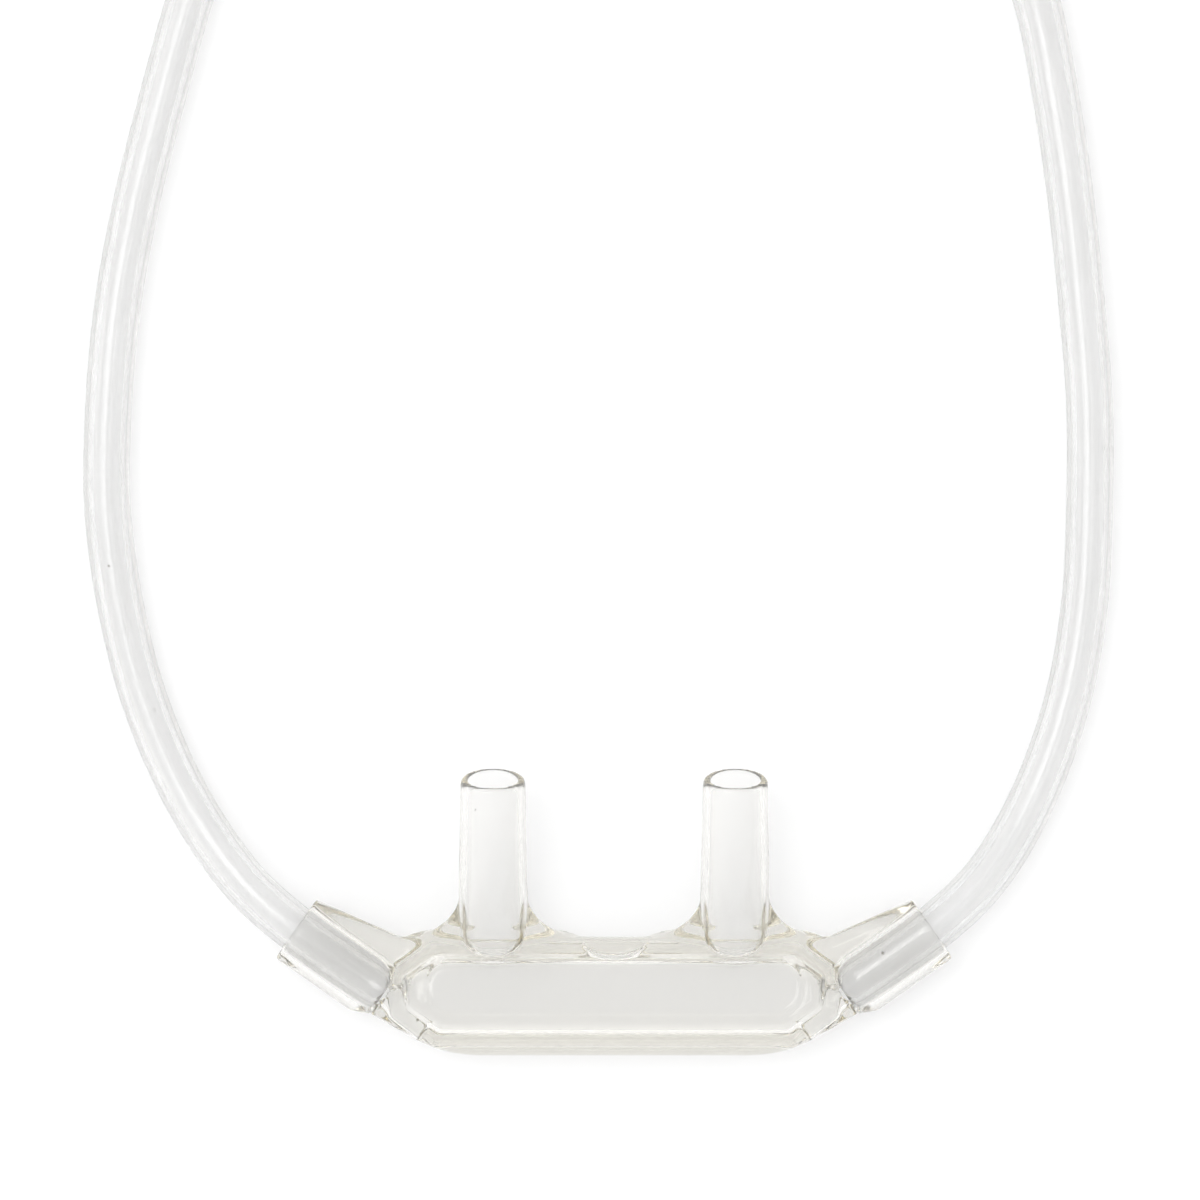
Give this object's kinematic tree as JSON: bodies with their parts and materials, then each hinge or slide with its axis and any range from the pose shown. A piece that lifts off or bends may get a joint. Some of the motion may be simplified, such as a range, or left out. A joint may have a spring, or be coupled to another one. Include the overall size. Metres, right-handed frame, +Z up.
{
  "type": "nasal oxygen cannula",
  "caption": "Clear moulded facepiece with hollow nasal prongs, flexible arm tubes with a slider, and a Y connector with an open supply port.",
  "frame": {"origin": "centre of the facepiece in plan, on the surface that the cannula lies on", "axes": "+X along the facepiece from one arm socket to the other, +Y the way the prongs point, +Z up"},
  "size_m": [0.0788, 0.1797, 0.0101],
  "materials": {
    "clear_moulded_pvc": "clear soft moulded vinyl, slightly yellow where it is thick",
    "clear_tube_pvc": "clear extruded soft vinyl, slightly milky"
  },
  "bodies": {
    "cannula": {"facepiece": "clear_moulded_pvc", "arm_tube_left": "clear_tube_pvc", "arm_tube_right": "clear_tube_pvc", "arm_coil": "clear_tube_pvc", "arm_tail_left": "clear_tube_pvc", "arm_tail_right": "clear_tube_pvc", "y_connector": "clear_moulded_pvc"},
    "slider": {"slider": "clear_moulded_pvc"}
  },
  "joints": [
    {"name": "slider_slide", "type": "slide", "parent": "cannula", "child": "slider", "axis": [0, 1, 0], "range_m": [0, 0.009]}
  ]
}
